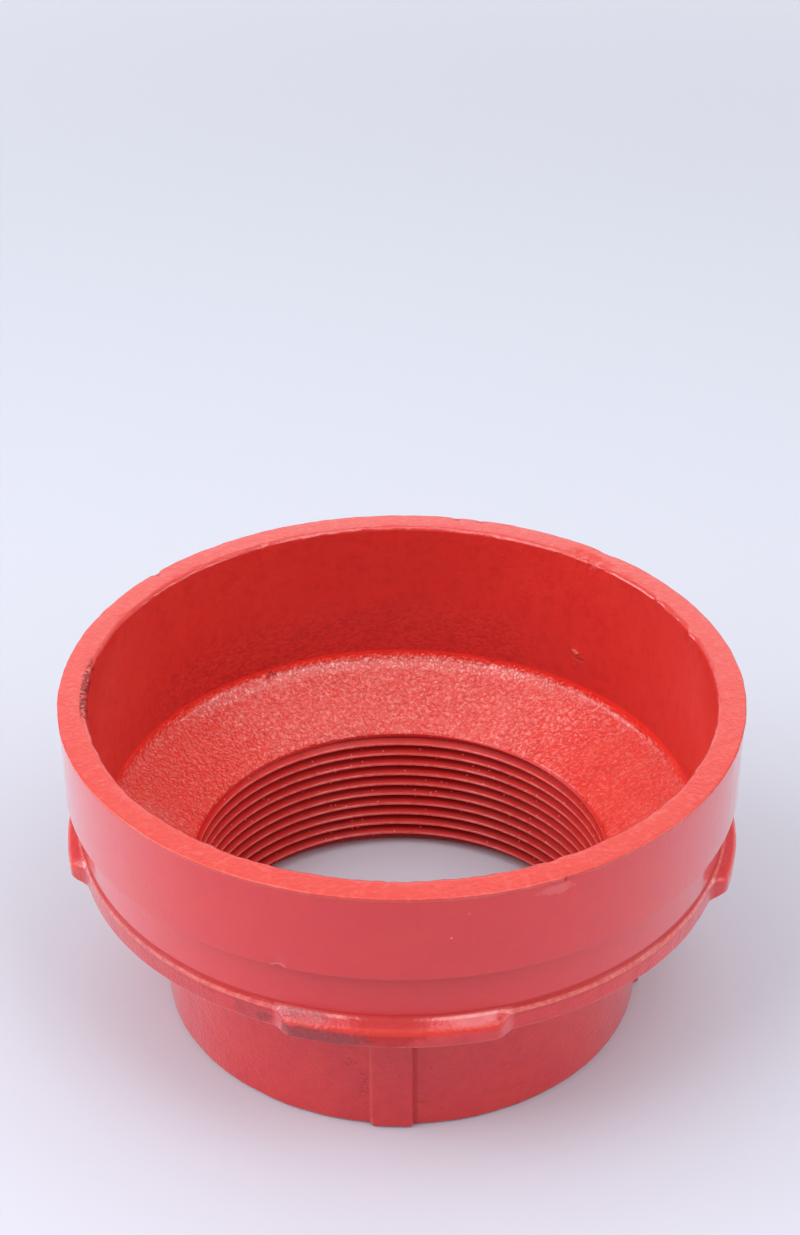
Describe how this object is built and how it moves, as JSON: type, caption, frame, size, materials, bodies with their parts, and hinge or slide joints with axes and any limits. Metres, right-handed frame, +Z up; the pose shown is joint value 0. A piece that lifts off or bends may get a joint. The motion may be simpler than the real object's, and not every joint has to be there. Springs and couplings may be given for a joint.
{
  "type": "grooved threaded reducer",
  "caption": "Cast iron concentric reducer: a grooved spigot cup above, a funnel floor, and a lugged, ribbed neck with a female pipe thread below, painted red.",
  "frame": {"origin": "centre of the neck's bottom face, where the threaded pipe enters", "axes": "+Z up the common pipe axis, from the threaded neck to the grooved spigot; the lugs and ribs lie on the X and Y axes"},
  "size_m": [0.1154, 0.1154, 0.0608],
  "materials": {
    "reducer_body": "glossy red enamel over a machined and as-cast iron surface, worn off in spots at the rim and on one lug"
  },
  "bodies": {
    "root": {"reducer_body": "reducer_body"}
  },
  "joints": []
}
